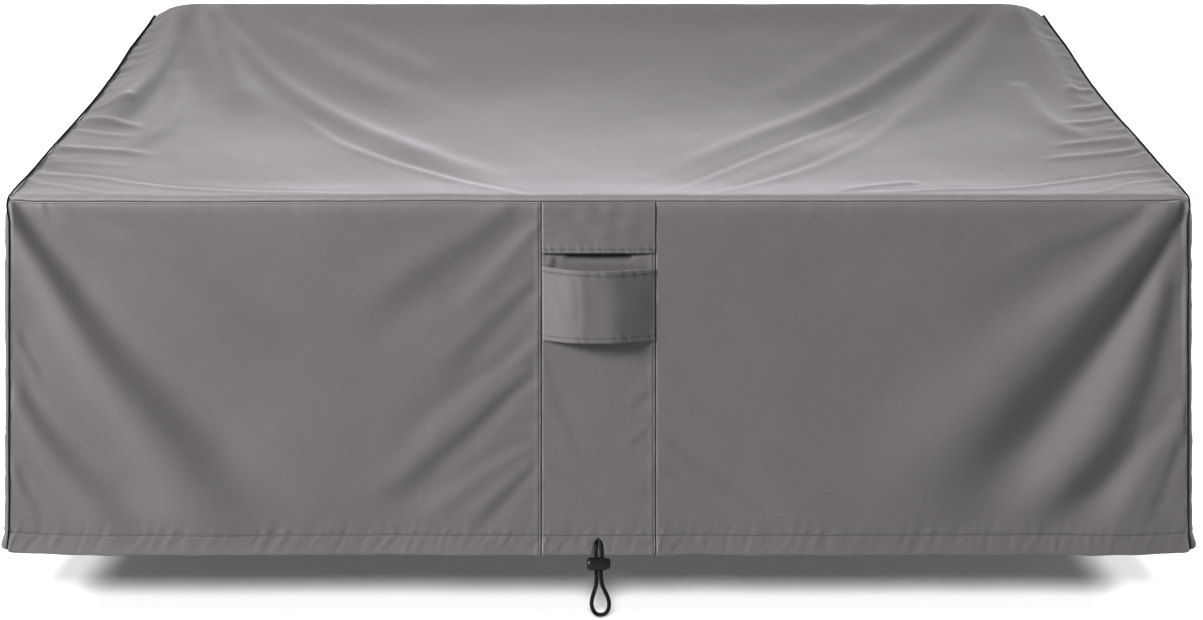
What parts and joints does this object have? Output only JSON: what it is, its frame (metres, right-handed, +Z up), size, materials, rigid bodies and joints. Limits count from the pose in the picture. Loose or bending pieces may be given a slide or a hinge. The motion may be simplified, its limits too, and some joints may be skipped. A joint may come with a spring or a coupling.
{
  "type": "patio furniture cover",
  "caption": "Fitted hollow cover for a long outdoor seat: hemmed woven cloth with piped ends, a vent flap, a handle strap and a drawcord with a sprung cord lock.",
  "frame": {"origin": "middle of the underside of the top, where what it covers holds it up", "axes": "+X to the right seen from the front, the front faces -Y, +Z up"},
  "size_m": [2.074, 1.0204, 1.0037],
  "materials": {
    "cover_cloth": "grey woven polyester, fine plain weave with a dull coating",
    "piping": "black woven piping over a thin cord",
    "cord": "black braided polyester cord",
    "lock_plastic": "black moulded plastic, satin"
  },
  "bodies": {
    "cover": {"top_panel": "cover_cloth", "front_left_panel": "cover_cloth", "front_centre_panel": "cover_cloth", "front_right_panel": "cover_cloth", "side_panel_left": "cover_cloth", "side_panel_right": "cover_cloth", "back_panel": "cover_cloth", "vent_flap": "cover_cloth", "handle_strap": "cover_cloth", "piping_left": "piping", "piping_right": "piping", "drawcord": "cord", "cord_lock": "lock_plastic"},
    "button": {"lock_button": "lock_plastic"}
  },
  "joints": [
    {"name": "button_press", "type": "slide", "parent": "cover", "child": "button", "axis": [-1, 0, 0], "range_m": [0, 0.004], "stiffness_N_per_m": 300, "springref_m": -0.003}
  ]
}
